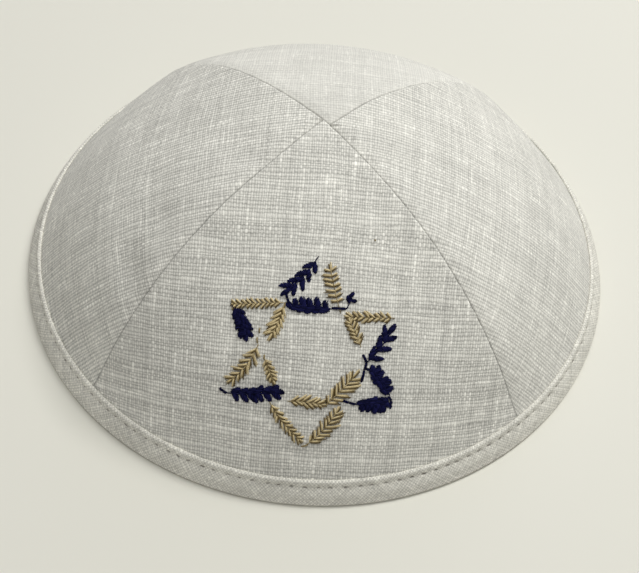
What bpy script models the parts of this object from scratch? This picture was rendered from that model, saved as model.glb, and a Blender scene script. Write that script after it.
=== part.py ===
"""A kippah of four linen panels with a bias-bound rim, lying open side down.

Metres, +Z up. The binding rests on Z = 0, the crown is on the Z axis and the front panel faces -Y.
Places on the cap are given by an angle round the axis and by "down", the share of the way from
the crown, 0, to the rim, 1. An inset is a depth inside the cap's outer face, square to the cloth.
"""
import math
from collections import namedtuple

import bmesh
import bpy
import numpy as np

# The cap as a whole
RIM_RADIUS = 0.0862
CROWN_HEIGHT = 0.0570
CLEARANCE = 0.0003

# Panels
PANEL_WALL = 0.0012
SEAM_DEPTH = 0.0005
SEAM_ROLL = 0.0035
TUCK_LENGTH = 0.034
ROUND_LENGTH = 0.014
FOLD_DEPTH = 0.0008
PANEL_COLUMNS = 20
PANEL_ROWS = 20

# Binding
BINDING_WALL = 0.0010
OUTER_LEG = 0.0070
INNER_LEG = 0.0070
CURL_HEIGHT = 0.0012
LEG_POINTS = 5
CHANNEL_POINTS = 3
OUTER_CURL_STEPS = 4
INNER_CURL_STEPS = 2
BINDING_STEPS = 96

# How steep the cloth is below the crown, in degrees from level, half way across a panel and along a seam
Steepness = namedtuple("Steepness", "down mid_panel seam")
STEEPNESS = (
    Steepness(down=0, mid_panel=6.0, seam=5.9),
    Steepness(down=1 / 3, mid_panel=26.0, seam=21.8),
    Steepness(down=2 / 3, mid_panel=41.3, seam=45.7),
    Steepness(down=1, mid_panel=59.5, seam=58.5),
)

# Soft folds. across runs from -1 to 1 between a panel's seams, turn is the fold's lean from straight down the
# panel in degrees, length and width are shares of the rim's radius, and depth is a share of FOLD_DEPTH.
Fold = namedtuple("Fold", "panel down across turn length width depth")
FOLDS = (
    Fold(panel="left", down=0.63, across=0.80, turn=69, length=0.20, width=0.055, depth=1.0),
    Fold(panel="left", down=0.50, across=0.55, turn=85, length=0.34, width=0.060, depth=0.8),
    Fold(panel="left", down=0.22, across=0.60, turn=-56, length=0.19, width=0.050, depth=0.6),
    Fold(panel="right", down=0.23, across=-0.60, turn=38, length=0.21, width=0.050, depth=0.6),
)

# The panels and the direction that each faces, in degrees from +X
FACINGS = {"front": -90, "right": 0, "back": 90, "left": 180}
HALF_PANEL = math.pi / len(FACINGS)

LINEN = (0.66, 0.64, 0.60)
PROFILE_STEPS = 400


def wall_curve(slopes):
    """Radius and height down the cloth at PROFILE_STEPS + 1 even shares of its length."""
    downs = [row.down for row in STEEPNESS]
    share = np.linspace(0, 1, PROFILE_STEPS + 1)
    slope = np.radians(np.polyval(np.polyfit(downs, slopes, len(downs) - 1), share))
    out = np.concatenate([[0], np.cumsum(np.cos((slope[1:] + slope[:-1]) / 2))])
    fall = np.concatenate([[0], np.cumsum(np.sin((slope[1:] + slope[:-1]) / 2))])
    radius = RIM_RADIUS * out / out[-1]
    height = CROWN_HEIGHT - (CROWN_HEIGHT - CURL_HEIGHT) * fall / fall[-1]
    return share, radius, height


SHARE, MID_RADIUS, MID_HEIGHT = wall_curve([row.mid_panel for row in STEEPNESS])
_, SEAM_RADIUS, SEAM_HEIGHT = wall_curve([row.seam for row in STEEPNESS])
WALL_LENGTH = float(np.hypot(np.diff(MID_RADIUS), np.diff(MID_HEIGHT)).sum())
BINDING_TOP = 1 - OUTER_LEG / WALL_LENGTH
TUCK_START = BINDING_TOP - TUCK_LENGTH / WALL_LENGTH
ROUND_START = BINDING_TOP - ROUND_LENGTH / WALL_LENGTH
CHANNEL_FLOOR = 1 - (CURL_HEIGHT + BINDING_WALL + PANEL_WALL) / WALL_LENGTH
PANEL_FOOT = CHANNEL_FLOOR - CLEARANCE / WALL_LENGTH


def smooth(x):
    """Rises from 0 to 1 with level ends as x goes from 0 to 1."""
    x = min(max(x, 0.0), 1.0)
    return x * x * (3 - 2 * x)


def seam_share(across, down):
    """0 half way across a panel and 1 at its seams, as on a flat side of a square.

    It fades to 0 over the last stretch above the binding, because the rim is round.
    """
    chord = (1 / math.cos(across * HALF_PANEL) - 1) / (1 / math.cos(HALF_PANEL) - 1)
    return chord * (1 - smooth((down - ROUND_START) / (BINDING_TOP - ROUND_START)))


def wall_point(down, across, inset):
    """Radius and height of a point in the wall."""
    share = seam_share(across, down)
    radius = MID_RADIUS + (SEAM_RADIUS - MID_RADIUS) * share
    height = MID_HEIGHT + (SEAM_HEIGHT - MID_HEIGHT) * share
    step = 1 / PROFILE_STEPS
    low = min(max(down - step, 0), 1 - 2 * step)
    r0, r1 = np.interp([low, low + 2 * step], SHARE, radius)
    z0, z1 = np.interp([low, low + 2 * step], SHARE, height)
    length = math.hypot(r1 - r0, z1 - z0)
    normal = ((z0 - z1) / length, (r1 - r0) / length)
    r = np.interp(down, SHARE, radius)
    z = np.interp(down, SHARE, height)
    return r - inset * normal[0], z - inset * normal[1]


def fold_depth(panel, down, across):
    """How far the panel's soft folds press it in at a point."""
    depth = 0.0
    for fold in FOLDS:
        if fold.panel != panel:
            continue
        radius = np.interp(down, SHARE, MID_RADIUS)
        side = (across - fold.across) * HALF_PANEL * radius
        along = (down - fold.down) * WALL_LENGTH
        lean = math.radians(fold.turn)
        u = along * math.cos(lean) + side * math.sin(lean)
        v = side * math.cos(lean) - along * math.sin(lean)
        u /= fold.length * RIM_RADIUS / 2
        v /= fold.width * RIM_RADIUS
        depth += FOLD_DEPTH * fold.depth * math.exp(-u * u - v * v)
    return depth


def panel_inset(panel, down, across):
    """Inset of a panel's outer face: its folds, its seams and its tuck under the binding."""
    radius = np.interp(down, SHARE, MID_RADIUS)
    from_seam = (1 - abs(across)) * HALF_PANEL * radius
    seam = SEAM_DEPTH * (1 - smooth(from_seam / SEAM_ROLL))
    tuck = smooth((down - TUCK_START) / (BINDING_TOP - TUCK_START))
    return (BINDING_WALL + CLEARANCE) * tuck + (seam + fold_depth(panel, down, across)) * (1 - tuck)


def panel_point(panel, down, across, depth):
    """A point of a panel, depth inside its outer face, kept half a clearance off its two seam planes."""
    r, z = wall_point(down, across, panel_inset(panel, down, across) + depth)
    r = max(r, CLEARANCE / 2 / math.sin(HALF_PANEL))
    room = HALF_PANEL - math.asin(CLEARANCE / 2 / r)
    angle = math.radians(FACINGS[panel]) + across * room
    return r * math.cos(angle), r * math.sin(angle), z


def panel_mesh(panel):
    """A gore as a closed body: a tip at the crown and rows of points on its outer and inner faces."""
    bm = bmesh.new()
    faces = []
    for depth in (0, PANEL_WALL):
        tip = bm.verts.new(panel_point(panel, 0, 0, depth))
        rows = []
        for row in range(1, PANEL_ROWS + 1):
            down = PANEL_FOOT * row / PANEL_ROWS
            across = np.linspace(-1, 1, PANEL_COLUMNS + 1)
            rows.append([bm.verts.new(panel_point(panel, down, a, depth)) for a in across])
        faces.append((tip, rows))
    (outer_tip, outer), (inner_tip, inner) = faces
    for c in range(PANEL_COLUMNS):
        bm.faces.new((outer_tip, outer[0][c], outer[0][c + 1]))
        bm.faces.new((inner_tip, inner[0][c + 1], inner[0][c]))
        bm.faces.new((outer[-1][c], inner[-1][c], inner[-1][c + 1], outer[-1][c + 1]))
        for r in range(PANEL_ROWS - 1):
            bm.faces.new((outer[r][c], outer[r + 1][c], outer[r + 1][c + 1], outer[r][c + 1]))
            bm.faces.new((inner[r][c], inner[r][c + 1], inner[r + 1][c + 1], inner[r + 1][c]))
    for edge in (0, -1):
        outer_edge = [outer_tip] + [row[edge] for row in outer]
        inner_edge = [inner_tip] + [row[edge] for row in inner]
        for r in range(PANEL_ROWS):
            bm.faces.new((outer_edge[r], inner_edge[r], inner_edge[r + 1], outer_edge[r + 1]))
    bmesh.ops.recalc_face_normals(bm, faces=bm.faces)
    mesh = bpy.data.meshes.new("panel_" + panel)
    bm.to_mesh(mesh)
    bm.free()
    return mesh


def arc(centre, radius, start, end, steps):
    """Points of an arc in the radius and height plane, both ends included, angles in degrees."""
    turns = np.radians(np.linspace(start, end, steps + 1))
    return [(centre[0] + radius * math.cos(a), centre[1] + radius * math.sin(a)) for a in turns]


def binding_section():
    """The folded strip's section, down its outer face, under the rim and back up inside."""
    stack = 2 * BINDING_WALL + 2 * CLEARANCE + PANEL_WALL
    slope = math.radians(STEEPNESS[-1].mid_panel)
    facing = 90 - STEEPNESS[-1].mid_panel
    inner_top = 1 - INNER_LEG / WALL_LENGTH
    half = BINDING_WALL / 2
    rim_r, rim_z = wall_point(1, 0, 0)
    curl = rim_z / (1 + math.cos(slope))
    curl_r = rim_r - curl * math.sin(slope)
    inner_r, inner_z = wall_point(1, 0, stack - curl)
    inner_r += (inner_z - curl) / math.tan(slope)

    outer_face = [wall_point(down, 0, 0) for down in np.linspace(BINDING_TOP, 1, LEG_POINTS)]
    outer_curl = arc((curl_r, curl), curl, facing, -90, OUTER_CURL_STEPS)
    inner_curl = arc((inner_r, curl), curl, -90, facing - 180, INNER_CURL_STEPS)
    inner_face = [wall_point(down, 0, stack) for down in np.linspace(1, inner_top, LEG_POINTS)[1:]]
    inner_lip = wall_point(inner_top - half / WALL_LENGTH, 0, stack - half)
    outer_lip = wall_point(BINDING_TOP - half / WALL_LENGTH, 0, half)
    down_channel = np.linspace(inner_top, CHANNEL_FLOOR, CHANNEL_POINTS)
    up_channel = np.linspace(CHANNEL_FLOOR, BINDING_TOP, CHANNEL_POINTS)
    channel_inner = [wall_point(down, 0, stack - BINDING_WALL) for down in down_channel]
    channel_outer = [wall_point(down, 0, BINDING_WALL) for down in up_channel]
    return (outer_face + outer_curl[1:] + inner_curl + inner_face + [inner_lip]
            + channel_inner + channel_outer + [outer_lip])


def binding_object():
    """The section turned about the crown's axis."""
    points = [(r, 0, z) for r, z in binding_section()]
    edges = [(i, (i + 1) % len(points)) for i in range(len(points))]
    mesh = bpy.data.meshes.new("rim_binding")
    mesh.from_pydata(points, edges, [])
    binding = bpy.data.objects.new("rim_binding", mesh)
    screw = binding.modifiers.new("Turn", "SCREW")
    screw.steps = BINDING_STEPS
    screw.render_steps = BINDING_STEPS
    screw.use_merge_vertices = True
    screw.merge_threshold = 0.00001
    return binding


def linen(name, shade):
    """Undyed linen, a little darker or lighter than the next piece."""
    material = bpy.data.materials.new(name)
    material.use_nodes = True
    shader = material.node_tree.nodes["Principled BSDF"]
    shader.inputs["Base Color"].default_value = [value * shade for value in LINEN] + [1]
    shader.inputs["Roughness"].default_value = 0.9
    shader.inputs["Metallic"].default_value = 0
    return material


def add_part(collection, part, shade):
    collection.objects.link(part)
    part.data.materials.append(linen(part.name + "_linen", shade))
    return part


def main():
    for old in list(bpy.data.objects):
        bpy.data.objects.remove(old, do_unlink=True)
    kippah = bpy.data.collections.new("kippah")
    bpy.context.scene.collection.children.link(kippah)
    for panel in FACINGS:
        mesh = panel_mesh(panel)
        mesh.shade_smooth()
        mesh.set_sharp_from_angle(angle=math.radians(40))
        add_part(kippah, bpy.data.objects.new("panel_" + panel, mesh), 1.0)
    add_part(kippah, binding_object(), 0.95)


main()
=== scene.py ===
import math
from collections import namedtuple

import bpy
import numpy as np
from mathutils import Matrix, Vector


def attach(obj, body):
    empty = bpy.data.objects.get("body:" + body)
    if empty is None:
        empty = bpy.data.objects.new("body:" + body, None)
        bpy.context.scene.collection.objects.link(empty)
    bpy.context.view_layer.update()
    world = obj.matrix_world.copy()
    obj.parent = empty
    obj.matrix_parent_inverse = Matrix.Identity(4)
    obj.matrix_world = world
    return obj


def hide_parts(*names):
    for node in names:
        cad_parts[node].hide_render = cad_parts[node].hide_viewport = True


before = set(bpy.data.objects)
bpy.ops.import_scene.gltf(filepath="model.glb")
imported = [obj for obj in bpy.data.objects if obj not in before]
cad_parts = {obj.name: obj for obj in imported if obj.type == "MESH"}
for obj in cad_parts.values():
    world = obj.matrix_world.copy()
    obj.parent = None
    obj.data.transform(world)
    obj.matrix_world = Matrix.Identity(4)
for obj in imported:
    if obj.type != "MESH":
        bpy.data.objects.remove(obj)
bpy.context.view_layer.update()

# The cap as a whole
RIM_RADIUS = 0.0862
CROWN_HEIGHT = 0.0570
PROFILE_STEPS = 400

# Panels
PANEL_WALL = 0.0012
TUCK_LENGTH = 0.034
ROUND_LENGTH = 0.014
TUCK_DEPTH = 0.0006
INNER_TUCK_DEPTH = 0.0013
FOLD_DEPTH = 0.0008
PANEL_ROWS = 170
FINEST_COLUMN = 0.00008
WIDEST_COLUMN = 0.00100
COLUMN_GROWTH = 1.13

# The sewn line between two panels. One panel is turned under and laid over the other: its edge stands out,
# rounded over EDGE_WIDTH, and the panel under it dips towards the line. Painted shade darkens the linen's
# colour along the crease. Puckers are two sets of waves, the second with FINE_PUCKERS of the spacing of the
# first.
SEAM_GAP = 0.00001
EDGE_DEPTH = 0.00065
EDGE_WIDTH = 0.00034
EDGE_ROLL = 0.0012
EDGE_DIP = 0.00015
UNDER_DEPTH = 0.00025
UNDER_WIDTH = 0.00030
UNDER_ROLL = 0.0030
UNDER_DIP = 0.00055
# How far from the seam the painted shade along the crease reaches, and how dark the linen's colour is at the
# seam
CREASE_SHADE_WIDTH = 0.00042
CREASE_SHADE_TONE = 0.60
PUCKER_DEPTH = 0.00005
PUCKER_SPACING = 0.0065
FINE_PUCKERS = 0.62

# Whether each panel is laid over its neighbour, at its seam with a negative across and at the other
LAID_OVER = {"front": (True, True), "right": (False, True), "back": (False, False), "left": (True, False)}

# At the crown the side seams miss each other along the seam that runs from back left to front right:
# how far each side has slipped along it, and how far from the crown that shows
LEFT_SLIP = 0.0008
RIGHT_SLIP = 0.0016
SLIP_REACH = 0.012

# Gentle unevenness of the cloth: its depth, the lengths of its waves and how many there are of each length
UNEVEN_DEPTH = 0.00010
UNEVEN_LENGTHS = (0.013, 0.019, 0.027, 0.041)
WAVES_PER_LENGTH = 3

# Binding: a strip folded over the rim, with an outer and an inner leg and the panels in the channel between
OUTER_WALL = 0.0006
INNER_WALL = 0.0010
BINDING_STACK = 0.0038
OUTER_LEG = 0.0070
INNER_LEG = 0.0070
CURL_HEIGHT = 0.0012
CHANNEL_DEPTH = 0.0068
RING_STEPS = 1440
LIP_STEPS = 8
FACE_STEPS = 28
FACE_CROWDING = 1.3
CURL_STEPS = 6
INNER_FACE_STEPS = 8
HIDDEN_STEPS = 4
BINDING_SEED = 7.0

# Relief of the binding's outer face, each at a distance below its fold, with its half width and its rise.
# It fades out over FADE_LENGTH from FADE_START below the fold.
Relief = namedtuple("Relief", "below width rise")
BINDING_RELIEF = (
    Relief(below=0.0006, width=0.0005, rise=0.00012),
    Relief(below=0.0012, width=0.0012, rise=0.00022),
    Relief(below=0.0046, width=0.0016, rise=0.00022),
)
FADE_START = 0.0055
FADE_LENGTH = 0.0020

# Ripples of the bias cut, aslant across the outer face, that grow over RIPPLE_START below the fold: even
# ones with a spacing and a lean, and uneven ones that are short one way across the bias and long the other
RIPPLE_DEPTH = 0.00007
RIPPLE_LENGTH = 0.0055
RIPPLE_LEAN = 0.8
RIPPLE_START = 0.001
RIPPLE_SEED = 11
SHORT_WAY = 4.2
LONG_WAY = 1.1

# The stitches through the binding, each in its dent, toned dark as painted shade of the dent. Lengths and
# tones vary between two shares, the slant up to a share of the length, and a stitch sinks into the cloth by
# up to STITCH_SUNK of its radius.
STITCH_BELOW = 0.0021
STITCH_PITCH = 0.0036
STITCH_LENGTH = 0.0017
STITCH_LENGTHS = (0.6, 1.3)
STITCH_SLANT = 0.3
STITCH_DENT = 0.00045
STITCH_DENT_LENGTH = 0.0009
STITCH_DENT_WIDTH = 0.00045
STITCH_RADIUS = 0.00016
STITCH_SHIFT = 0.0007
STITCH_SHIFT_SEED = 3
STITCH_SEED = 4
STITCH_SHADE_TONE = 0.15
STITCH_TONES = (0.6, 2.4)
STITCH_SUNK = 1.0
STITCH_ARCH = 0.5

# How steep the cloth is below the crown, in degrees from level, half way across a panel and along a seam
Steepness = namedtuple("Steepness", "down mid_panel seam")
STEEPNESS = (
    Steepness(down=0, mid_panel=6.0, seam=5.9),
    Steepness(down=1 / 3, mid_panel=26.0, seam=21.8),
    Steepness(down=2 / 3, mid_panel=41.3, seam=45.7),
    Steepness(down=1, mid_panel=59.5, seam=58.5),
)

# Soft folds. across runs from -1 to 1 between a panel's seams, turn is the fold's lean from straight down
# the panel in degrees, length and width are shares of the rim's radius, depth is a share of FOLD_DEPTH.
Fold = namedtuple("Fold", "panel down across turn length width depth")
FOLDS = (
    Fold(panel="left", down=0.63, across=0.80, turn=69, length=0.20, width=0.055, depth=1.0),
    Fold(panel="left", down=0.50, across=0.55, turn=85, length=0.34, width=0.060, depth=0.8),
    Fold(panel="left", down=0.22, across=0.60, turn=-56, length=0.19, width=0.050, depth=0.6),
    Fold(panel="right", down=0.23, across=-0.60, turn=38, length=0.21, width=0.050, depth=0.6),
)

# The panels and the direction that each faces, in degrees from +X
FACINGS = {"front": -90, "right": 0, "back": 90, "left": 180}
HALF_PANEL = math.pi / len(FACINGS)

# Linen, all of it with its close threads from front to back: the pitch of the threads that run down a panel
# and of those that run across it, how strongly they show, how nubby they are, and how much painted light and
# shade follows the widely spaced threads as ribs
CLOSE_PITCH = 0.00068
OPEN_PITCH = 0.00098
LINEN = (0.74, 0.73, 0.68)
BINDING_LINEN = (0.775, 0.76, 0.695)
Weave = namedtuple("Weave", "down across contrast nubs ribs")
WEAVES = {
    "front": Weave(down=CLOSE_PITCH, across=OPEN_PITCH, contrast=0.80, nubs=0.12, ribs=0.04),
    "right": Weave(down=OPEN_PITCH, across=CLOSE_PITCH, contrast=0.60, nubs=0.20, ribs=0.20),
    "back": Weave(down=CLOSE_PITCH, across=OPEN_PITCH, contrast=0.38, nubs=0.10, ribs=0.06),
    "left": Weave(down=OPEN_PITCH, across=CLOSE_PITCH, contrast=0.68, nubs=0.20, ribs=0.20),
}
BINDING_WEAVE = Weave(down=CLOSE_PITCH, across=CLOSE_PITCH, contrast=0.60, nubs=0.24, ribs=0.0)

# How unevenly the linen's threads lie: they wander and bunch by so many threads. SEED_STEP and LANE_STEP
# keep the panels and the threads apart in the random patterns. All scales are waves per metre.
WANDER = 1.6
WANDER_SCALE = 160.0
WANDER_STRETCH = 0.35
BUNCHING = 1.2
BUNCHES_PER_THREAD = 0.4
SEED_STEP = 37.7
LANE_STEP = 7.31

# Light and dark in the linen, as changes of its light: from thread to thread, in thick and thin stretches
# of a thread, in streaks longer than they are wide, and in broad patches, each with a scale and a change.
# Where threads cross, in the gaps and on top of the threads these are painted light and shade of the weave's
# relief: painted shade in the gaps, painted highlight on top. MEAN_WAVE is the mean of a thread's wave.
THREAD_TONES = 0.22
SLUB_SCALE = 110.0
SLUB_LIGHT = 0.28
THIN_DARK = 0.08
STREAK_SCALES = (700.0, 600.0)
STREAK_STRETCH = 3.0
STREAK_DEPTH = 0.20
FIBRE_SCALE = 2600.0
CROSSING_SHADING = 0.08
GAP_SHADE = 0.48
TOP_HIGHLIGHT = 0.18
MEAN_WAVE = 0.64
PATCHES = ((60.0, 0.03), (16.0, 0.02))

# Relief of the weave: its strength and its height
WEAVE_BUMP = 0.6
WEAVE_RELIEF = 0.00014

# Embroidery: the darkest and the lightest threads, thread sizes, and how high a thread stands: LIFT_SHARE
# of its length and at most SATIN_LIFT, and up to LIFT_UNEVEN more
DARK_NAVY, LIGHT_NAVY = (0.0015, 0.002, 0.013), (0.012, 0.013, 0.072)
DARK_GOLD, LIGHT_GOLD = (0.11, 0.072, 0.020), (0.74, 0.61, 0.35)
DARK_LINEN, LIGHT_LINEN = (0.20, 0.18, 0.16), (0.76, 0.745, 0.69)
NAVY_RADIUS = 0.00016
GOLD_RADIUS = 0.00012
SATIN_SPACING = 0.00026
STRAIGHT_SPACING = 0.00030
SATIN_LIFT = 0.00038
LIFT_SHARE = 0.22
LIFT_UNEVEN = 0.00008
THREAD_SINK = 0.00012
THREAD_ARCH = 0.6
THREAD_TAPER = 0.6
THREAD_POINTS = 7
THREAD_SIDES = 6
UP_STEP = 0.0002
PLACING_ROUNDS = 12

# Thread: turns of its plies from end to end, and the relief of their twist
PLY_TURNS = 6.0
PLY_BUMP = 0.4
PLY_RELIEF = 0.00005

# Tones of the threads side by side in a gold leaf, from 0, dark, to 1, light: the dark ones are painted
# shade on each leaf's lower side, the light ones partly painted highlight
GOLD_SHADE_TONES = (0.0, 0.15, 0.90, 1.0, 0.80, 0.20, 0.60)
STEM_TONE = 0.3

# The threads side by side in a bare stem, and their spacing in millimetres
STEM_THREADS = {"navy": 3, "gold": 2}
STEM_SPACING = 0.20

# How a sprig is sewn: the spine in stitches of SPINE_STITCH millimetres that overlap by a share of their
# length, the leaves smallest at both ends of the sprig and each a little uneven in length and lean, with
# one more at TIP_SHARE of the spine. Thread ends are off by about THREAD_JITTER millimetres.
SPINE_STITCH = 2.2
SPINE_OVERLAP = 0.12
SPINE_TONES = (0.1, 0.7)
LEAF_SIZE = 0.78
LEAF_SWELL = 0.3
LEAF_LENGTHS = (0.85, 1.15)
LEAF_TURN = 9
LEAF_ROOT = 0.12
TIP_SHARE = 0.93
TIP_LENGTH = 0.75
THREAD_JITTER = 0.04

# A satin leaf's threads cross it, aslant by a share of its half width. A straight leaf's threads spread
# over a share of its width at the root and another at the tip, and the outer ones start farther along.
SATIN_SLANT = 0.7
SATIN_REACH = (0.85, 1.25)
SATIN_TONES = (0.1, 1.0)
STRAIGHT_ROOT = 0.45
STRAIGHT_POINT = 0.2
STRAIGHT_REACH = (0.75, 1.0)
STRAIGHT_TIP = 0.85
STRAIGHT_TONES = (0.85, 1.15)

# The star's sprigs, charted in millimetres of the front panel's flat cloth: to the right of its centre
# line, and down from the crown. A sprig runs from its stem to its tip, bowed to its right by bow. Its
# leaves stand in pairs over the share of it that starts at bare. leaf gives the lengths of its left and
# right leaves and their width, and lean their angles off the spine in degrees.
Sprig = namedtuple("Sprig", "stem tip bow bare pairs leaf lean")
NAVY_SPRIGS = (
    Sprig((0.7, 40.0), (-6.7, 49.4), bow=-0.6, bare=0.06, pairs=4, leaf=(3.3, 4.3, 1.5), lean=(46, 34)),
    Sprig((5.0, 53.2), (-5.6, 53.2), bow=0.3, bare=0.02, pairs=5, leaf=(2.6, 2.7, 2.2), lean=(50, 50)),
    Sprig((8.9, 52.9), (10.0, 49.4), bow=0.2, bare=0.40, pairs=1, leaf=(1.8, 1.8, 1.3), lean=(55, 55)),
    Sprig((-21.0, 53.7), (-16.5, 61.7), bow=-0.6, bare=0.14, pairs=5, leaf=(3.3, 3.3, 1.6), lean=(40, 40)),
    Sprig((-20.9, 77.2), (-6.7, 75.5), bow=0.4, bare=0.08, pairs=6, leaf=(2.7, 3.1, 1.9), lean=(46, 46)),
    Sprig((21.9, 74.8), (16.9, 68.2), bow=0.2, bare=0.05, pairs=5, leaf=(2.4, 2.5, 2.0), lean=(58, 58)),
    Sprig((13.2, 77.5), (21.5, 77.4), bow=0.0, bare=0.04, pairs=5, leaf=(2.5, 2.5, 2.1), lean=(56, 56)),
    Sprig((15.1, 66.4), (20.9, 57.7), bow=0.5, bare=0.00, pairs=3, leaf=(4.2, 4.0, 1.6), lean=(38, 38)),
)
GOLD_SPRIGS = (
    Sprig((7.5, 54.1), (3.9, 42.2), bow=-0.2, bare=0.20, pairs=7, leaf=(3.1, 2.5, 0.9), lean=(70, 70)),
    Sprig((-7.5, 52.5), (-20.6, 53.9), bow=0.0, bare=0.02, pairs=10, leaf=(2.4, 2.5, 0.8), lean=(44, 44)),
    Sprig((-7.1, 52.6), (-9.7, 61.0), bow=-0.3, bare=0.08, pairs=6, leaf=(3.3, 4.4, 1.1), lean=(26, 38)),
    Sprig((-13.1, 63.8), (-19.8, 73.9), bow=-0.9, bare=0.04, pairs=7, leaf=(3.5, 4.1, 1.0), lean=(34, 44)),
    Sprig((-11.2, 67.0), (-8.5, 73.0), bow=0.0, bare=0.06, pairs=5, leaf=(2.6, 2.5, 1.0), lean=(42, 42)),
    Sprig((-9.1, 78.5), (-0.3, 88.2), bow=0.6, bare=0.03, pairs=8, leaf=(3.2, 3.2, 0.9), lean=(36, 36)),
    Sprig((1.3, 89.0), (8.5, 79.4), bow=0.6, bare=0.03, pairs=8, leaf=(3.1, 4.1, 0.9), lean=(40, 42)),
    Sprig((-4.5, 77.8), (4.5, 78.1), bow=-0.2, bare=0.04, pairs=6, leaf=(3.8, 3.2, 0.9), lean=(36, 36)),
    Sprig((5.1, 78.3), (12.2, 70.1), bow=0.2, bare=0.03, pairs=7, leaf=(3.7, 4.9, 0.9), lean=(43, 43)),
    Sprig((21.5, 54.4), (9.2, 55.0), bow=0.0, bare=0.03, pairs=8, leaf=(2.5, 2.8, 0.9), lean=(40, 40)),
    Sprig((13.3, 62.4), (9.8, 55.9), bow=0.2, bare=0.04, pairs=6, leaf=(2.8, 2.9, 1.0), lean=(42, 42)),
)

# Bare stems between sprigs, as lines of points on the same cloth, and a fleck of gold thread above the star
NAVY_STEMS = (
    ((-6.8, 49.9), (-6.5, 51.3), (-5.6, 53.0)),
    ((5.0, 53.0), (8.9, 52.9)),
    ((-22.5, 76.1), (-21.7, 76.8), (-20.6, 77.3)),
    ((9.5, 76.6), (11.4, 77.2), (13.2, 77.5)),
    ((21.6, 75.1), (22.5, 76.3), (22.2, 77.5)),
    ((17.0, 68.7), (15.2, 68.0)),
    ((14.0, 64.4), (15.1, 66.4), (14.7, 68.4), (14.1, 71.7)),
)
GOLD_STEMS = (
    ((-13.0, 59.4), (-13.0, 60.8)),
    ((-13.5, 61.8), (-13.3, 63.5)),
    ((-11.3, 66.2), (-11.3, 67.6)),
    ((-7.0, 52.3), (-7.0, 53.9)),
    ((-0.3, 89.8), (1.7, 89.0)),
    ((14.9, 34.2), (15.3, 34.3)),
)

# The camera: degrees above the floor, its roll, its distance and the point that it looks at
CAMERA_ELEVATION = 52.21
CAMERA_ROLL = 4.16
CAMERA_DISTANCE = 0.3784
CAMERA_TARGET = (0.00158, -0.01282, 0.0)
CAMERA_LENS = 71.3
CAMERA_SENSOR = 36.0
CAMERA_CLIP = 0.01

# The lights, square soft boxes at one distance from the cap: the direction of each from it, in degrees, the
# side of the square and the power in watts. And the light from all round.
Lamp = namedtuple("Lamp", "name azimuth elevation size power colour")
LAMPS = (
    Lamp("key", azimuth=43, elevation=54, size=0.5, power=14.0, colour=(1.0, 1.0, 0.96)),
    Lamp("overhead", azimuth=60, elevation=88, size=1.2, power=9.6, colour=(1.0, 1.0, 0.96)),
    Lamp("back_fill", azimuth=80, elevation=30, size=1.0, power=3.6, colour=(0.88, 0.88, 1.0)),
    Lamp("front_fill", azimuth=-100, elevation=30, size=1.0, power=2.6, colour=(1.0, 0.99, 0.96)),
)
LAMP_DISTANCE = 1.6
LAMP_TARGET = (0, 0, 0.02)
ROOM_COLOUR = (1.0, 0.98, 0.98, 1)
ROOM_STRENGTH = 0.14

# The table under the cap: half its side and its colour
TABLE_REACH = 20.0
TABLE_COLOUR = (0.745, 0.735, 0.67, 1)


def wall_curve(slopes):
    """Radius and height down the cloth at PROFILE_STEPS + 1 even shares of its length."""
    downs = [row.down for row in STEEPNESS]
    share = np.linspace(0, 1, PROFILE_STEPS + 1)
    slope = np.radians(np.polyval(np.polyfit(downs, slopes, len(downs) - 1), share))
    out = np.concatenate([[0], np.cumsum(np.cos((slope[1:] + slope[:-1]) / 2))])
    fall = np.concatenate([[0], np.cumsum(np.sin((slope[1:] + slope[:-1]) / 2))])
    radius = RIM_RADIUS * out / out[-1]
    height = CROWN_HEIGHT - (CROWN_HEIGHT - CURL_HEIGHT) * fall / fall[-1]
    return share, radius, height


SHARE, MID_RADIUS, MID_HEIGHT = wall_curve([row.mid_panel for row in STEEPNESS])
_, SEAM_RADIUS, SEAM_HEIGHT = wall_curve([row.seam for row in STEEPNESS])
MID_SLOPE = np.arctan2(-np.gradient(MID_HEIGHT), np.gradient(MID_RADIUS))
WALL_LENGTH = float(np.hypot(np.diff(MID_RADIUS), np.diff(MID_HEIGHT)).sum())
BINDING_TOP = 1 - OUTER_LEG / WALL_LENGTH
TUCK_START = BINDING_TOP - TUCK_LENGTH / WALL_LENGTH
ROUND_START = BINDING_TOP - ROUND_LENGTH / WALL_LENGTH
PANEL_FOOT = BINDING_TOP + 0.5 * OUTER_LEG / WALL_LENGTH


def smooth(x):
    """Rises from 0 to 1 with level ends as x goes from 0 to 1."""
    x = np.clip(x, 0, 1)
    return x * x * (3 - 2 * x)


def seam_share(across, down):
    """0 half way across a panel and 1 at its seams, fading to 0 above the round binding."""
    chord = (1 / np.cos(across * HALF_PANEL) - 1) / (1 / math.cos(HALF_PANEL) - 1)
    return chord * (1 - smooth((down - ROUND_START) / (BINDING_TOP - ROUND_START)))


def blend(down, share, mid, seam):
    """A measure of the wall, from its curve half way across a panel, share 0, to its curve at a seam, 1."""
    return np.interp(down, SHARE, mid) * (1 - share) + np.interp(down, SHARE, seam) * share


def wall_curves(down, share):
    """Radius and height of the outer face, share of the way from mid panel to a seam."""
    return blend(down, share, MID_RADIUS, SEAM_RADIUS), blend(down, share, MID_HEIGHT, SEAM_HEIGHT)


def wall_point(down, across, inset):
    """Radius and height of points in the wall, moved inwards by the inset, square to the cloth."""
    share = seam_share(across, down)
    step = 1 / PROFILE_STEPS
    low = np.clip(down - step, 0, 1 - 2 * step)
    r0, z0 = wall_curves(low, share)
    r1, z1 = wall_curves(low + 2 * step, share)
    length = np.hypot(r1 - r0, z1 - z0)
    r, z = wall_curves(down, share)
    return r - inset * (z0 - z1) / length, z - inset * (r1 - r0) / length


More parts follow.
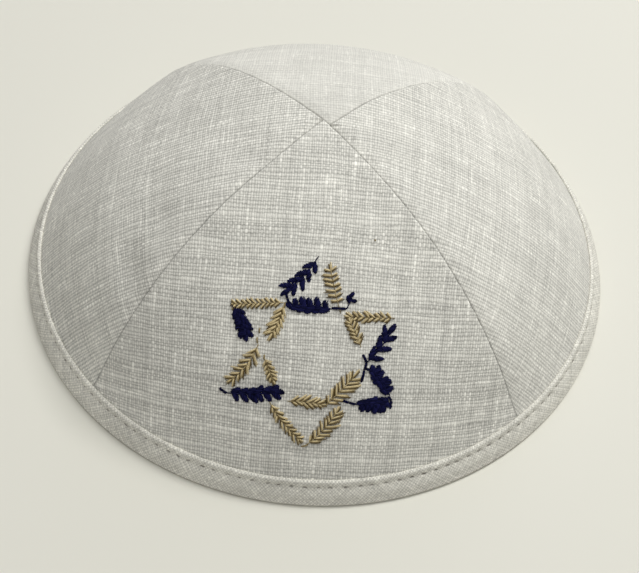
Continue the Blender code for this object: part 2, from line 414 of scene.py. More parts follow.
def seam_distance(down, across):
    """How far a point of a panel is from its nearer seam, along the cloth."""
    return (1 - np.abs(across)) * HALF_PANEL * np.interp(down, SHARE, MID_RADIUS)


def fold_depth(panel, down, across):
    """How far the panel's soft folds press it in."""
    depth = np.zeros_like(down)
    radius = np.interp(down, SHARE, MID_RADIUS)
    for fold in FOLDS:
        if fold.panel != panel:
            continue
        side = (across - fold.across) * HALF_PANEL * radius
        along = (down - fold.down) * WALL_LENGTH
        lean = math.radians(fold.turn)
        u = (along * math.cos(lean) + side * math.sin(lean)) / (fold.length * RIM_RADIUS / 2)
        v = (side * math.cos(lean) - along * math.sin(lean)) / (fold.width * RIM_RADIUS)
        depth += FOLD_DEPTH * fold.depth * np.exp(-u * u - v * v)
    return depth


def unevenness(seed, x, y):
    """Shallow waves over the cloth, mostly from -1 to 1, at places x and y in metres."""
    random = np.random.default_rng(seed)
    total = np.zeros_like(x)
    for length in UNEVEN_LENGTHS:
        for _ in range(WAVES_PER_LENGTH):
            turn, phase = random.uniform(0, 2 * math.pi, 2)
            total += np.sin((x * math.cos(turn) + y * math.sin(turn)) * 2 * math.pi / length + phase)
    return total / (WAVES_PER_LENGTH * len(UNEVEN_LENGTHS)) * 2


def cloth_place(down, across):
    """A point's place in its panel's flat cut: to the side of its centre line, and down from its tip."""
    radius = np.interp(down, SHARE, MID_RADIUS)
    slope = np.interp(down, SHARE, MID_SLOPE)
    turn_radius = np.maximum(radius, 1e-6) / np.cos(slope)
    turn = across * HALF_PANEL * np.cos(slope)
    return turn_radius * np.sin(turn), down * WALL_LENGTH - turn_radius * (1 - np.cos(turn))


def seam_inset(panel, down, across):
    """How far a panel is pressed in beside its seams, and how far its edge is rounded off there."""
    from_seam = seam_distance(down, across)
    phase = np.where(across < 0, 0.0, 2.0)
    run = down * WALL_LENGTH * 2 * math.pi
    pucker = np.sin(run / PUCKER_SPACING + 5 * FACINGS[panel] + phase)
    pucker += np.sin(run / (PUCKER_SPACING * FINE_PUCKERS) + FACINGS[panel] + 2 * phase)
    over = np.where(across < 0, *LAID_OVER[panel])
    dip = np.where(over, EDGE_DIP, UNDER_DIP) + PUCKER_DEPTH * pucker
    dip *= 1 - smooth(from_seam / np.where(over, EDGE_ROLL, UNDER_ROLL))
    turned = np.exp(-(from_seam / np.where(over, EDGE_WIDTH, UNDER_WIDTH)) ** 2)
    return dip + np.where(over, EDGE_DEPTH, UNDER_DEPTH) * turned


def panel_inset(panel, down, across, depth):
    """Inset of a panel's faces: folds, seams, unevenness and the tuck under the binding."""
    tuck = smooth((down - TUCK_START) / (BINDING_TOP - TUCK_START))
    tucked = TUCK_DEPTH + (INNER_TUCK_DEPTH - TUCK_DEPTH) * depth / PANEL_WALL
    x, y = cloth_place(down, across)
    uneven = UNEVEN_DEPTH * unevenness(abs(FACINGS[panel]), x, y)
    pressed = seam_inset(panel, down, across) + fold_depth(panel, down, across) + uneven
    return depth + tucked * tuck + pressed * (1 - tuck)


def panel_point(panel, down, across, depth):
    """Points of a panel, depth inside its outer face, half the seam's gap clear of its two seam planes."""
    r, z = wall_point(down, across, panel_inset(panel, down, across, depth))
    r = np.maximum(r, SEAM_GAP / 2 / math.sin(HALF_PANEL))
    angle = math.radians(FACINGS[panel]) + across * (HALF_PANEL - np.arcsin(SEAM_GAP / 2 / r))
    slip = LEFT_SLIP if panel in ("front", "left") else -RIGHT_SLIP
    slip = slip * np.exp(-(r / SLIP_REACH) ** 2) / math.sqrt(2)
    x = r * np.cos(angle) - slip
    y = r * np.sin(angle) + slip
    z += np.interp(np.hypot(x, y), MID_RADIUS, MID_HEIGHT) - np.interp(r, MID_RADIUS, MID_HEIGHT)
    return np.stack([x, y, z], axis=-1)


def front_place(x, y, height):
    """Points of the front panel, height above its face, at places of its flat cut, found round by round."""
    along = y.copy()
    for _ in range(PLACING_ROUNDS):
        down = np.clip(along / WALL_LENGTH, 1e-4, 1)
        slope = np.interp(down, SHARE, MID_SLOPE)
        turn_radius = np.interp(down, SHARE, MID_RADIUS) / np.cos(slope)
        turn = np.arcsin(np.clip(x / turn_radius, -0.99, 0.99))
        along = y + turn_radius * (1 - np.cos(turn))
    down = along / WALL_LENGTH
    across = turn / (HALF_PANEL * np.cos(slope))
    return panel_point("front", down, across, -height)


def columns():
    """Places across a panel, fine beside its seams."""
    steps = [FINEST_COLUMN]
    half = HALF_PANEL * RIM_RADIUS
    while sum(steps) < half:
        steps.append(min(steps[-1] * COLUMN_GROWTH, WIDEST_COLUMN))
    inward = np.concatenate([[0], np.cumsum(steps)])
    inward = inward / inward[-1]
    return np.concatenate([inward - 1, (1 - inward[:-1])[::-1]])


def add_piece(name, points, faces, material, cloth=None, crease=None, replaced=()):
    """Makes a smooth mesh piece that rides on the cap.

    cloth gives each point's place on its flat cloth, crease its distance from the nearest crease, which sets
    the painted shade there.
    """
    mesh = bpy.data.meshes.new(name)
    mesh.from_pydata(points, [], faces)
    mesh.shade_smooth()
    if cloth is not None:
        places = mesh.attributes.new("cloth", "FLOAT_VECTOR", "POINT")
        places.data.foreach_set("vector", np.asarray(cloth, dtype=np.float32).ravel())
    if crease is not None:
        distances = mesh.attributes.new("crease", "FLOAT", "POINT")
        distances.data.foreach_set("value", np.asarray(crease, dtype=np.float32).ravel())
    mesh.materials.append(material)
    piece = bpy.data.objects.new(name, mesh)
    bpy.context.scene.collection.objects.link(piece)
    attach(piece, "root")
    if replaced:
        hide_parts(*replaced)


def sheet_faces(first, rows, cols, flip=False):
    """Quads over a grid of points numbered row by row from first."""
    row, col = np.meshgrid(np.arange(rows - 1), np.arange(cols - 1), indexing="ij")
    corner = first + row * cols + col
    quads = np.stack([corner, corner + cols, corner + cols + 1, corner + 1], axis=-1).reshape(-1, 4)
    return quads[:, ::-1] if flip else quads


def add_panel(panel, material):
    """A gore as a closed shell: its tip at the crown, its outer face and its inner face one wall deeper."""
    across = columns()
    down = PANEL_FOOT * np.arange(1, PANEL_ROWS + 1) / PANEL_ROWS
    grid_down, grid_across = np.meshgrid(down, across, indexing="ij")
    x, y = cloth_place(grid_down, grid_across)
    seed = np.full_like(x, FACINGS[panel] / 90)
    from_seam = seam_distance(grid_down, grid_across).ravel()
    points, cloth = [], []
    for depth in (0, PANEL_WALL):
        points.append(panel_point(panel, grid_down, grid_across, depth).reshape(-1, 3))
        cloth.append(np.stack([x, y, seed], axis=-1).reshape(-1, 3))
    size = PANEL_ROWS * len(across)
    tips = panel_point(panel, np.zeros(2), np.zeros(2), np.array([0, PANEL_WALL]))
    points = np.concatenate(points + [tips])
    cloth = np.concatenate(cloth + [[[0, 0, seed[0, 0]]] * 2])
    outer_tip, inner_tip = 2 * size, 2 * size + 1
    faces = sheet_faces(0, PANEL_ROWS, len(across)).tolist()
    faces += sheet_faces(size, PANEL_ROWS, len(across), flip=True).tolist()
    last_row = size - len(across)
    for col in range(len(across) - 1):
        faces.append((outer_tip, col, col + 1))
        faces.append((inner_tip, size + col + 1, size + col))
        foot = last_row + col
        faces.append((foot, size + foot, size + foot + 1, foot + 1))
    for edge, flip in ((0, False), (len(across) - 1, True)):
        line = [edge + row * len(across) for row in range(PANEL_ROWS)]
        outer = [outer_tip] + line
        inner = [inner_tip] + [size + point for point in line]
        for row in range(PANEL_ROWS):
            quad = (outer[row], inner[row], inner[row + 1], outer[row + 1])
            faces.append(quad[::-1] if flip else quad)
    crease = np.concatenate([from_seam, from_seam, [0, 0]])
    add_piece("linen_" + panel, points, faces, material, cloth, crease, ["panel_" + panel])


def arc(centre, radius, start, end, steps):
    """Points of an arc in the radius and height plane, both ends included, angles in degrees."""
    turns = np.radians(np.linspace(start, end, steps + 1))
    return np.stack([centre[0] + radius * np.cos(turns), centre[1] + radius * np.sin(turns)], axis=-1)


def leg(start, end, inset, steps, crowding=1.0):
    """Points of the section between two shares down, at one inset, closer at the start if crowded."""
    down = start + (end - start) * np.linspace(0, 1, steps) ** crowding
    r, z = wall_point(down, np.zeros(steps), np.full(steps, inset))
    return np.stack([r, z], axis=-1)


def lip(down, inset, half, steps):
    """The rounded fold at the top of a leg of the binding, from its hidden side to the side that shows."""
    r, z = wall_point(np.array([down]), np.zeros(1), np.array([inset]))
    slope = math.degrees(np.interp(down, SHARE, MID_SLOPE))
    facing = 90 - slope
    return arc((r[0], z[0]), half, facing + 180, facing, steps)


def binding_section():
    """The folded strip's section: over its outer fold, down outside, under the rim, up inside and back."""
    slope = math.radians(STEEPNESS[-1].mid_panel)
    facing = 90 - STEEPNESS[-1].mid_panel
    inner_top = 1 - INNER_LEG / WALL_LENGTH
    outer_half, inner_half = OUTER_WALL / 2, INNER_WALL / 2
    outer_top = BINDING_TOP + outer_half / WALL_LENGTH
    floor = 1 - (OUTER_LEG - CHANNEL_DEPTH + 2 * INNER_WALL) / WALL_LENGTH
    rim_r, rim_z = leg(1, 1, 0, 1)[0]
    curl = rim_z / (1 + math.cos(slope))
    curl_r = rim_r - curl * math.sin(slope)
    inner_r, inner_z = leg(1, 1, BINDING_STACK - curl, 1)[0]
    inner_r += (inner_z - curl) / math.tan(slope)
    outer_lip = lip(outer_top, outer_half, outer_half, LIP_STEPS)
    outer_face = leg(outer_top, 1, 0, FACE_STEPS + 1, FACE_CROWDING)[1:]
    outer_curl = arc((curl_r, curl), curl, facing, -90, CURL_STEPS)[1:]
    inner_curl = arc((inner_r, curl), curl, -90, facing - 180, CURL_STEPS)
    inner_face = leg(1, inner_top, BINDING_STACK, INNER_FACE_STEPS)[1:]
    inner_lip = lip(inner_top, BINDING_STACK - inner_half, inner_half, HIDDEN_STEPS)[::-1][1:]
    channel_inner = leg(inner_top, floor, BINDING_STACK - INNER_WALL, HIDDEN_STEPS)[1:]
    channel_outer = leg(floor, outer_top, OUTER_WALL, HIDDEN_STEPS)[:-1]
    return np.concatenate([outer_lip, outer_face, outer_curl, inner_curl, inner_face, inner_lip,
                           channel_inner, channel_outer])


def stitch_turns():
    """The angle round the rim of the middle of each stitch, in order, a little uneven."""
    count = round(2 * math.pi * RIM_RADIUS / STITCH_PITCH)
    shift = np.random.default_rng(STITCH_SHIFT_SEED).uniform(-1, 1, count) * STITCH_SHIFT
    return np.arange(count) * 2 * math.pi / count + shift / RIM_RADIUS


def binding_rise(below, turn):
    """How far the binding's outer face stands out, at distances below its fold and angles round the rim."""
    rise = np.zeros(np.broadcast(below, turn).shape)
    for relief in BINDING_RELIEF:
        rise += relief.rise * np.exp(-((below - relief.below) / relief.width) ** 2)
    places = stitch_turns()
    nearest = places[np.round(turn / (2 * math.pi) * len(places)).astype(int) % len(places)]
    apart = (turn - nearest + math.pi) % (2 * math.pi) - math.pi
    dent = np.exp(-(apart * RIM_RADIUS / STITCH_DENT_LENGTH) ** 2)
    rise -= STITCH_DENT * dent * np.exp(-((below - STITCH_BELOW) / STITCH_DENT_WIDTH) ** 2)
    along = turn * RIM_RADIUS
    slant = unevenness(RIPPLE_SEED, (along + below) * SHORT_WAY, (along - below) * LONG_WAY)
    rise += RIPPLE_DEPTH * slant * smooth(below / RIPPLE_START)
    wave = np.sin((along + RIPPLE_LEAN * below) * 2 * math.pi / RIPPLE_LENGTH + 2 * slant)
    rise += 0.5 * RIPPLE_DEPTH * wave
    return rise * (1 - smooth((below - FADE_START) / FADE_LENGTH))


def add_binding(material):
    """The section carried round the crown's axis, with the relief of its outer face.

    The rest of the section counts as a metre below the fold, where the relief has faded, and all of it as a
    metre from the nearest crease, where no painted shade reaches.
    """
    section = binding_section()
    count = len(section)
    turn = np.arange(RING_STEPS) * 2 * math.pi / RING_STEPS + math.pi / 2
    below = np.full(count, 1.0)
    below[:LIP_STEPS + 1] = 0
    face = np.linspace(0, 1, FACE_STEPS + 1)[1:] ** FACE_CROWDING
    below[LIP_STEPS + 1:LIP_STEPS + 1 + FACE_STEPS] = OUTER_WALL / 2 + face * (OUTER_LEG - OUTER_WALL / 2)
    ahead = np.roll(section, -1, axis=0) - np.roll(section, 1, axis=0)
    ahead /= np.hypot(*ahead.T)[:, None]
    shown = smooth(np.arange(count) / LIP_STEPS)[:, None]
    rise = binding_rise(below[:, None], turn[None, :]) * shown
    r = section[:, 0][:, None] - rise * ahead[:, 1][:, None]
    z = section[:, 1][:, None] + rise * ahead[:, 0][:, None]
    points = np.stack([r * np.cos(turn), r * np.sin(turn), z], axis=-1).reshape(-1, 3)
    length = np.concatenate([[0], np.cumsum(np.hypot(*np.diff(section, axis=0).T))])
    u = np.broadcast_to(turn * RIM_RADIUS, (count, RING_STEPS))
    v = np.repeat(length[:, None], RING_STEPS, axis=1)
    seed = np.full_like(u, BINDING_SEED)
    cloth = np.stack([(u + v) / math.sqrt(2), (u - v) / math.sqrt(2), seed], axis=-1).reshape(-1, 3)
    row, col = np.meshgrid(np.arange(count), np.arange(RING_STEPS), indexing="ij")
    this_row, next_row = row * RING_STEPS, (row + 1) % count * RING_STEPS
    next_col = (col + 1) % RING_STEPS
    corners = [this_row + col, next_row + col, next_row + next_col, this_row + next_col]
    faces = np.stack(corners, axis=-1).reshape(-1, 4).tolist()
    crease = np.full(u.size, 1.0)
    add_piece("bias_binding", points, faces, material, cloth, crease, ["rim_binding"])


def tubes(paths, above, radius, tones):
    """Points and faces of round threads, and for shading each point's share along, share around and tone.

    paths holds each thread's points, and above the same points raised a little.
    """
    threads, count = paths.shape[:2]
    along = np.gradient(paths, axis=1)
    along /= np.linalg.norm(along, axis=-1, keepdims=True)
    up = above - paths
    up -= along * (up * along).sum(axis=-1, keepdims=True)
    up /= np.linalg.norm(up, axis=-1, keepdims=True)
    side = np.cross(along, up)
    turns = np.arange(THREAD_SIDES) * 2 * math.pi / THREAD_SIDES
    taper = np.ones(count)
    taper[[0, -1]] = THREAD_TAPER
    ring = up[:, :, None] * np.cos(turns)[:, None] + side[:, :, None] * np.sin(turns)[:, None]
    points = paths[:, :, None] + ring * radius * taper[:, None, None]
    first = np.arange(threads)[:, None, None] * count * THREAD_SIDES
    row, col = np.meshgrid(np.arange(count - 1), np.arange(THREAD_SIDES), indexing="ij")
    corner = first + row * THREAD_SIDES + col
    beside = first + row * THREAD_SIDES + (col + 1) % THREAD_SIDES
    quads = np.stack([corner, beside, beside + THREAD_SIDES, corner + THREAD_SIDES], axis=-1)
    faces = quads.reshape(-1, 4).tolist()
    for thread in range(threads):
        start = thread * count * THREAD_SIDES
        end = start + (count - 1) * THREAD_SIDES
        faces.append(tuple(range(start, start + THREAD_SIDES))[::-1])
        faces.append(tuple(range(end, end + THREAD_SIDES)))
    places = np.zeros((threads, count, THREAD_SIDES, 3))
    places[..., 0] = np.linspace(0, 1, count)[:, None]
    places[..., 1] = np.arange(THREAD_SIDES) / THREAD_SIDES
    places[..., 2] = tones[:, None, None]
    return points.reshape(-1, 3), faces, places.reshape(-1, 3)


def spine(sprig, share):
    """Places along a sprig's bowed spine, and the way that it runs there."""
    stem, tip = np.array(sprig.stem), np.array(sprig.tip)
    run = tip - stem
    length = np.hypot(*run)
    right = np.array([-run[1], run[0]]) / length
    place = stem + run * share + right * sprig.bow * 4 * share * (1 - share)
    way = run + right * sprig.bow * 4 * (1 - 2 * share)
    return place, way / np.hypot(*way)


def turned(way, degrees):
    """A direction turned by an angle."""
    angle = math.radians(degrees)
    return np.array([way[0] * math.cos(angle) - way[1] * math.sin(angle),
                     way[0] * math.sin(angle) + way[1] * math.cos(angle)])


def satin_leaf(root, way, length, width, random):
    """Threads that cross a leaf aslant, from one edge of it to the other, as starts, ends and tones."""
    count = max(5, round(length / 1000 / SATIN_SPACING))
    share = (np.arange(count) + 0.5) / count
    half = width / 2 * np.sin(math.pi * share ** 0.9) ** 0.5
    side = np.array([-way[1], way[0]])
    middle = root + way * (share * length)[:, None]
    shift = way * (half * SATIN_SLANT)[:, None]
    reach = side * half[:, None] * random.uniform(*SATIN_REACH, (count, 1))
    tones = random.uniform(*SATIN_TONES, count)
    return middle - reach - shift, middle + reach + shift, tones


def straight_leaf(root, way, length, width, random):
    """Threads that run the length of a leaf side by side, as starts, ends and tones."""
    count = round(width / 1000 / STRAIGHT_SPACING) + 1
    spread = np.linspace(-0.5, 0.5, count)[:, None] * width
    side = np.array([-way[1], way[0]])
    starts = root + side * spread * STRAIGHT_ROOT + way * np.abs(spread) * STRAIGHT_POINT
    reach = random.uniform(*STRAIGHT_REACH, (count, 1))
    ends = root + way * length * reach + side * spread * STRAIGHT_TIP
    # Painted shade: the dark threads of the leaf go on its lower side
    tones = np.array(GOLD_SHADE_TONES[:count])
    return starts, ends, (tones[::-1] if side[1] > 0 else tones) * random.uniform(*STRAIGHT_TONES, count)


def sprig_threads(sprig, leaf_threads, random):
    """Starts, ends and tones of all the threads of a sprig, on the flat cloth in millimetres."""
    bundles = []
    steps = max(3, round(np.hypot(*np.subtract(sprig.tip, sprig.stem)) / SPINE_STITCH))
    nodes = np.array([spine(sprig, share)[0] for share in np.linspace(0, 1, steps + 1)])
    overlap = SPINE_OVERLAP * np.diff(nodes, axis=0)
    bundles.append((nodes[:-1] - overlap, nodes[1:] + overlap, random.uniform(*SPINE_TONES, steps)))
    left, right, width = sprig.leaf
    leaves = []
    for pair in range(sprig.pairs):
        share = sprig.bare + (1 - sprig.bare) * (pair + 0.5) / (sprig.pairs + 0.5)
        place, way = spine(sprig, share)
        size = LEAF_SIZE + LEAF_SWELL * math.sin(math.pi * (pair + 1) / (sprig.pairs + 1))
        for length, lean in ((left, -sprig.lean[0]), (right, sprig.lean[1])):
            leaf_way = turned(way, lean + random.uniform(-LEAF_TURN, LEAF_TURN))
            leaves.append((place, leaf_way, length * size * random.uniform(*LEAF_LENGTHS)))
    tip, way = spine(sprig, TIP_SHARE)
    leaves.append((tip, way, TIP_LENGTH * max(left, right)))
    for place, way, length in leaves:
        root = place - way * length * LEAF_ROOT
        starts, ends, tones = leaf_threads(root, way, length, width, random)
        starts = starts + random.normal(0, THREAD_JITTER, starts.shape)
        ends = ends + random.normal(0, THREAD_JITTER, ends.shape)
        bundles.append((starts, ends, tones))
    return bundles


def add_embroidery(thread, sprigs, stems, leaf_threads, radius, material):
    """All the sprigs and stems of one colour, as one piece of arched threads that dive into the cloth."""
    random = np.random.default_rng(len(sprigs))
    bundles = []
    for sprig in sprigs:
        bundles += sprig_threads(sprig, leaf_threads, random)
    for stem in stems:
        points = np.array(stem)
        run = np.diff(points, axis=0)
        side = np.stack([-run[:, 1], run[:, 0]], axis=-1) / np.hypot(*run.T)[:, None]
        count = STEM_THREADS[thread]
        for shift in (np.arange(count) - (count - 1) / 2) * STEM_SPACING:
            tones = np.full(len(run), STEM_TONE)
            bundles.append((points[:-1] + side * shift, points[1:] + side * shift, tones))
    starts, ends, tones = (np.concatenate(column) for column in zip(*bundles))
    starts, ends = starts / 1000, ends / 1000
    share = np.linspace(0, 1, THREAD_POINTS)[:, None]
    place = starts[:, None] * (1 - share) + ends[:, None] * share
    length = np.hypot(*(ends - starts).T)[:, None]
    lift = np.minimum(SATIN_LIFT, length * LIFT_SHARE) + LIFT_UNEVEN * random.random((len(starts), 1))
    height = -THREAD_SINK + (lift + THREAD_SINK) * np.sin(math.pi * share[:, 0]) ** THREAD_ARCH
    paths = front_place(place[..., 0], place[..., 1], height)
    above = front_place(place[..., 0], place[..., 1], height + UP_STEP)
    points, faces, places = tubes(paths, above, radius, tones)
    add_piece(thread + "_embroidery", points, faces, material, places)


def ring_point(down, inset, turn):
    """Points of the binding at places down, moved inwards by the inset, at angles round the rim."""
    r, z = wall_point(down, np.zeros_like(down), inset)
    return np.stack([r * np.cos(turn), r * np.sin(turn), z], axis=-1)


def add_stitches(material):
    """The line of stitches that holds the binding, on its outer and its inner face."""
    middle = stitch_turns()[:, None]
    random = np.random.default_rng(STITCH_SEED)
    length = STITCH_LENGTH * random.uniform(*STITCH_LENGTHS, middle.shape)
    share = np.linspace(-0.5, 0.5, THREAD_POINTS)
    turn = middle + share * length / RIM_RADIUS
    arch = np.broadcast_to(np.cos(math.pi * share) ** STITCH_ARCH, turn.shape)
    below = STITCH_BELOW + share * length * random.uniform(-STITCH_SLANT, STITCH_SLANT, middle.shape)
    # Painted shade: the stitches are kept dark, as if shaded in their dents
    tones = STITCH_SHADE_TONE * random.uniform(*STITCH_TONES, len(middle))
    sunk = STITCH_RADIUS * random.uniform(0, STITCH_SUNK, middle.shape)
    down = BINDING_TOP + below / WALL_LENGTH
    height = -THREAD_SINK + (STITCH_RADIUS + THREAD_SINK - sunk) * arch
    for side, floor, out in (("outer", -binding_rise(below, middle), -1), ("inner", BINDING_STACK, 1)):
        paths = ring_point(down, floor + out * height, turn)
        above = ring_point(down, floor + out * (height + UP_STEP), turn)
        points, faces, places = tubes(paths, above, STITCH_RADIUS, tones)
        add_piece("binding_stitches_" + side, points, faces, material, places)


def make_node(tree, kind, inputs=(), **settings):
    """A shader node with its settings, each input given as a value or as the socket that feeds it."""
    node = tree.nodes.new("ShaderNode" + kind)
    for name, value in settings.items():
        setattr(node, name, value)
    for name, value in dict(inputs).items():
        if isinstance(value, bpy.types.NodeSocket):
            tree.links.new(value, node.inputs[name])
        else:
            node.inputs[name].default_value = value
    return node


def maths(tree, operation, *values):
    """The output of a Math node."""
    return make_node(tree, "Math", dict(enumerate(values)), operation=operation).outputs[0]


def remap(tree, value, low, high, to_low, to_high, kind="SMOOTHSTEP"):
    """The output of a Map Range node."""
    inputs = {"Value": value, "From Min": low, "From Max": high, "To Min": to_low, "To Max": to_high}
    return make_node(tree, "MapRange", inputs, interpolation_type=kind).outputs[0]


def noise(tree, vector, scale, detail=2.0, dimensions="3D"):
    """The value of a noise texture, around 0.5."""
    inputs = {"Vector": vector, "Scale": scale, "Detail": detail}
    return make_node(tree, "TexNoise", inputs, noise_dimensions=dimensions).outputs["Fac"]


def combine(tree, x, y, z=0.0):
    """A vector of three values."""
    return make_node(tree, "CombineXYZ", {"X": x, "Y": y, "Z": z}).outputs[0]


def new_material(name, roughness, sheen, specular):
    """A material with its node tree and its shader."""
    material = bpy.data.materials.new(name)
    material.use_nodes = True
    tree = material.node_tree
    shader = tree.nodes["Principled BSDF"]
    shader.inputs["Roughness"].default_value = roughness
    shader.inputs["Sheen Weight"].default_value = sheen
    shader.inputs["Sheen Roughness"].default_value = 0.5
    shader.inputs["Specular IOR Level"].default_value = specular
    return material, tree, shader


def linen_threads(tree, place, along, seed, pitch):
    """One set of parallel threads: the wave across each thread, and how light each stretch of thread is.

    place is a socket with the distance square to the threads, along the distance along them. The threads
    wander, bunch and part, and each has thick light stretches and thin dark ones.
    """
    stretched = maths(tree, "MULTIPLY", along, WANDER_STRETCH)
    wander = noise(tree, combine(tree, place, stretched, seed), WANDER_SCALE, 1.0)
    bunching = noise(tree, combine(tree, place, seed), BUNCHES_PER_THREAD / pitch, 1.0, "2D")
    count = maths(tree, "DIVIDE", place, pitch)
    count = maths(tree, "MULTIPLY_ADD", wander, WANDER, count)
    count = maths(tree, "MULTIPLY_ADD", bunching, BUNCHING, count)
    number = maths(tree, "MULTIPLY_ADD", seed, SEED_STEP, maths(tree, "FLOOR", count))
    wave = maths(tree, "SINE", maths(tree, "MULTIPLY", count, math.pi))
    tone = make_node(tree, "TexWhiteNoise", {"W": number}, noise_dimensions="1D").outputs["Value"]
    lane = maths(tree, "MULTIPLY", number, LANE_STEP)
    slub = noise(tree, combine(tree, lane, maths(tree, "MULTIPLY", along, SLUB_SCALE)), 1.0, 1.5, "2D")
    light = maths(tree, "MULTIPLY_ADD", tone, THREAD_TONES, -THREAD_TONES / 2)
    light = maths(tree, "ADD", light, remap(tree, slub, 0.60, 0.75, 0.0, SLUB_LIGHT))
    light = maths(tree, "SUBTRACT", light, remap(tree, slub, 0.42, 0.28, 0.0, THIN_DARK))
    return wave, light


def linen_material(name, colour, weave):
    """Plain weave: warp and weft pass over each other in turn, uneven in spacing, tone and thickness. Its
    relief is partly painted light and shade, and its seams painted shade.
    """
    material, tree, shader = new_material(name, roughness=0.9, sheen=0.1, specular=0.25)
    cloth = make_node(tree, "Attribute", attribute_name="cloth").outputs["Vector"]
    x, y, seed = make_node(tree, "SeparateXYZ", {"Vector": cloth}).outputs
    warp, warp_light = linen_threads(tree, x, y, seed, weave.down)
    weft, weft_light = linen_threads(tree, y, x, seed, weave.across)
    crossing = maths(tree, "MULTIPLY", warp, weft)
    heights = []
    for wave, thread_light, over in ((warp, warp_light, 0.5), (weft, weft_light, -0.5)):
        lifted = maths(tree, "MULTIPLY_ADD", maths(tree, "ABSOLUTE", wave), 0.5,
                       maths(tree, "MULTIPLY", crossing, over))
        thickness = maths(tree, "MULTIPLY_ADD", thread_light, 0.8, 1.0)
        heights.append(maths(tree, "MULTIPLY", lifted, thickness))
    surface = maths(tree, "MAXIMUM", *heights)
    on_top = remap(tree, crossing, -0.3, 0.3, 0.3, 1.0)
    under = maths(tree, "SUBTRACT", 1.3, on_top)
    warp_part = maths(tree, "MULTIPLY", warp_light, on_top)
    weft_part = maths(tree, "MULTIPLY", weft_light, under)
    light = maths(tree, "ADD", warp_part, weft_part)
    down_streaks = combine(tree, maths(tree, "MULTIPLY", x, STREAK_STRETCH), y, seed)
    across_streaks = combine(tree, x, maths(tree, "MULTIPLY", y, STREAK_STRETCH), seed)
    streaks = maths(tree, "ADD", noise(tree, down_streaks, STREAK_SCALES[0], 1.0),
                    noise(tree, across_streaks, STREAK_SCALES[1], 1.0))
    light = maths(tree, "ADD", light, remap(tree, streaks, 0.6, 1.4, -STREAK_DEPTH, STREAK_DEPTH, "LINEAR"))
    fibres = noise(tree, cloth, FIBRE_SCALE)
    light = maths(tree, "ADD", light, remap(tree, fibres, 0.25, 0.75, -weave.nubs, weave.nubs, "LINEAR"))
    # Painted light: where the warp lies on top the linen is lighter, where the weft does it is darker
    light = maths(tree, "ADD", light, maths(tree, "MULTIPLY", crossing, CROSSING_SHADING))
    # Painted shade in the gaps between the threads and painted highlight on their tops
    light = maths(tree, "ADD", light, remap(tree, surface, 0.10, 0.95, -GAP_SHADE, TOP_HIGHLIGHT, "LINEAR"))
    # Painted light and shade along the widely spaced threads, lighter on their crests
    rib_shading = maths(tree, "ABSOLUTE", warp if weave.down > weave.across else weft)
    light = maths(tree, "ADD", light, maths(tree, "MULTIPLY_ADD", rib_shading, weave.ribs, -MEAN_WAVE * weave.ribs))
    light = maths(tree, "MULTIPLY_ADD", light, weave.contrast, 1.0)
    for scale, depth in PATCHES:
        patches = noise(tree, cloth, scale)
        light = maths(tree, "ADD", light, remap(tree, patches, 0.3, 0.7, -depth, depth))
    # Painted shade: the linen's colour darkens close to the seams' creases
    crease = make_node(tree, "Attribute", attribute_name="crease").outputs["Fac"]
    light = maths(tree, "MULTIPLY", light, remap(tree, crease, 0.0, CREASE_SHADE_WIDTH, CREASE_SHADE_TONE, 1.0))
    tint = make_node(tree, "VectorMath", {0: colour, "Scale": light}, operation="SCALE")
    relief = {"Height": surface, "Strength": WEAVE_BUMP * weave.contrast, "Distance": WEAVE_RELIEF}
    bump = make_node(tree, "Bump", relief)
    tree.links.new(tint.outputs[0], shader.inputs["Base Color"])
    tree.links.new(bump.outputs[0], shader.inputs["Normal"])
    return material


def thread_material(name, dark, light, specular):
    """Two-ply thread: each with a tone between dark and light, and with the twist of its plies as bump and
    as painted shade in its grooves.
    """
    material, tree, shader = new_material(name, roughness=0.5, sheen=0.0, specular=specular)
    place = make_node(tree, "Attribute", attribute_name="cloth").outputs["Vector"]
    along, around, tone = make_node(tree, "SeparateXYZ", {"Vector": place}).outputs
    turns = maths(tree, "MULTIPLY_ADD", along, PLY_TURNS, around)
    twist = maths(tree, "ABSOLUTE", maths(tree, "SINE", maths(tree, "MULTIPLY", turns, 2 * math.pi)))
    # Painted shade: each thread's colour darkens in the grooves between its plies
    ply_shaded_tone = maths(tree, "MULTIPLY", tone, remap(tree, twist, 0.0, 0.5, 0.75, 1.05))
    span = [high - low for low, high in zip(dark, light)]
    tint = make_node(tree, "VectorMath", {0: ply_shaded_tone, 1: span, 2: dark}, operation="MULTIPLY_ADD").outputs[0]
    bump = make_node(tree, "Bump", {"Height": twist, "Strength": PLY_BUMP, "Distance": PLY_RELIEF})
    tree.links.new(tint, shader.inputs["Base Color"])
    tree.links.new(bump.outputs[0], shader.inputs["Normal"])
    return material


def add_floor():
    """A plain pale table under the cap."""
    material, _, shader = new_material("pale_table", roughness=0.6, sheen=0.0, specular=0.25)
    shader.inputs["Base Color"].default_value = TABLE_COLOUR
    signs = ((-1, -1), (1, -1), (1, 1), (-1, 1))
    corners = [(x * TABLE_REACH, y * TABLE_REACH, 0) for x, y in signs]
    mesh = bpy.data.meshes.new("table_top")
    mesh.from_pydata(corners, [], [(0, 1, 2, 3)])
    mesh.materials.append(material)
    floor = bpy.data.objects.new("table_top", mesh)
    bpy.context.scene.collection.objects.link(floor)


def aim(thing, place, target, roll=0.0):
    """Puts a camera or a light at a place, looking at a target."""
    look = (Vector(target) - Vector(place)).to_track_quat("-Z", "Y").to_matrix().to_4x4()
    thing.matrix_world = Matrix.Translation(place) @ look @ Matrix.Rotation(math.radians(roll), 4, "Z")


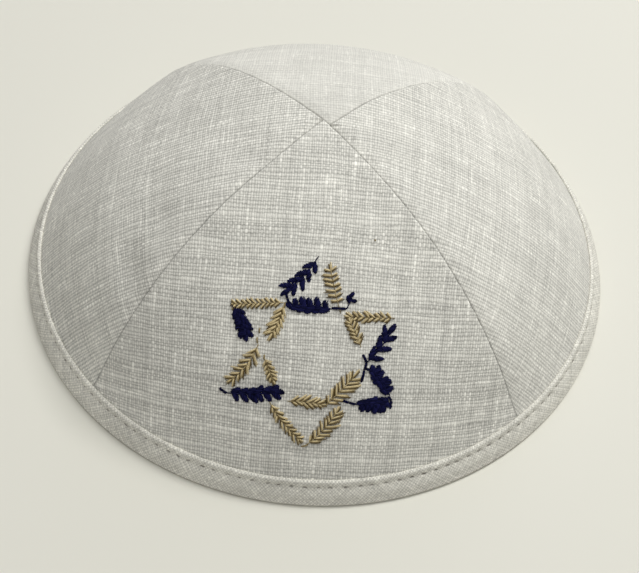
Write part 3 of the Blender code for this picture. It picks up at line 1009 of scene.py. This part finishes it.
def add_camera():
    """The camera, in front of the cap and above it, turned a little about its line of sight."""
    lens = bpy.data.cameras.new("camera")
    lens.sensor_width = CAMERA_SENSOR
    lens.lens = CAMERA_LENS
    lens.clip_start = CAMERA_CLIP
    camera = bpy.data.objects.new("camera", lens)
    bpy.context.scene.collection.objects.link(camera)
    tilt = math.radians(CAMERA_ELEVATION)
    back = Vector((0, -math.cos(tilt), math.sin(tilt)))
    target = Vector(CAMERA_TARGET)
    aim(camera, target + back * CAMERA_DISTANCE, target, CAMERA_ROLL)
    bpy.context.scene.camera = camera


def add_light(lamp):
    """A square soft box that shines on the cap."""
    source = bpy.data.lights.new(lamp.name, "AREA")
    source.shape = "SQUARE"
    source.size = lamp.size
    source.energy = lamp.power
    source.color = lamp.colour
    light = bpy.data.objects.new(lamp.name, source)
    bpy.context.scene.collection.objects.link(light)
    azimuth, elevation = math.radians(lamp.azimuth), math.radians(lamp.elevation)
    toward = Vector((math.cos(azimuth) * math.cos(elevation), math.sin(azimuth) * math.cos(elevation),
                     math.sin(elevation)))
    aim(light, toward * LAMP_DISTANCE, LAMP_TARGET)


def add_lights():
    """The soft boxes and the even light of the room."""
    for lamp in LAMPS:
        add_light(lamp)
    world = bpy.data.worlds.new("studio")
    world.use_nodes = True
    background = world.node_tree.nodes["Background"]
    background.inputs["Color"].default_value = ROOM_COLOUR
    background.inputs["Strength"].default_value = ROOM_STRENGTH
    bpy.context.scene.world = world
    bpy.context.scene.view_settings.view_transform = "Standard"


def main():
    """The whole scene."""
    add_camera()
    add_floor()
    add_lights()
    for panel in FACINGS:
        add_panel(panel, linen_material(panel + "_weave", LINEN, WEAVES[panel]))
    add_binding(linen_material("binding_weave", BINDING_LINEN, BINDING_WEAVE))
    add_stitches(thread_material("sewing_thread", DARK_LINEN, LIGHT_LINEN, specular=0.2))
    navy = thread_material("navy_thread", DARK_NAVY, LIGHT_NAVY, specular=0.04)
    gold = thread_material("gold_thread", DARK_GOLD, LIGHT_GOLD, specular=0.25)
    add_embroidery("navy", NAVY_SPRIGS, NAVY_STEMS, satin_leaf, NAVY_RADIUS, navy)
    add_embroidery("gold", GOLD_SPRIGS, GOLD_STEMS, straight_leaf, GOLD_RADIUS, gold)


main()
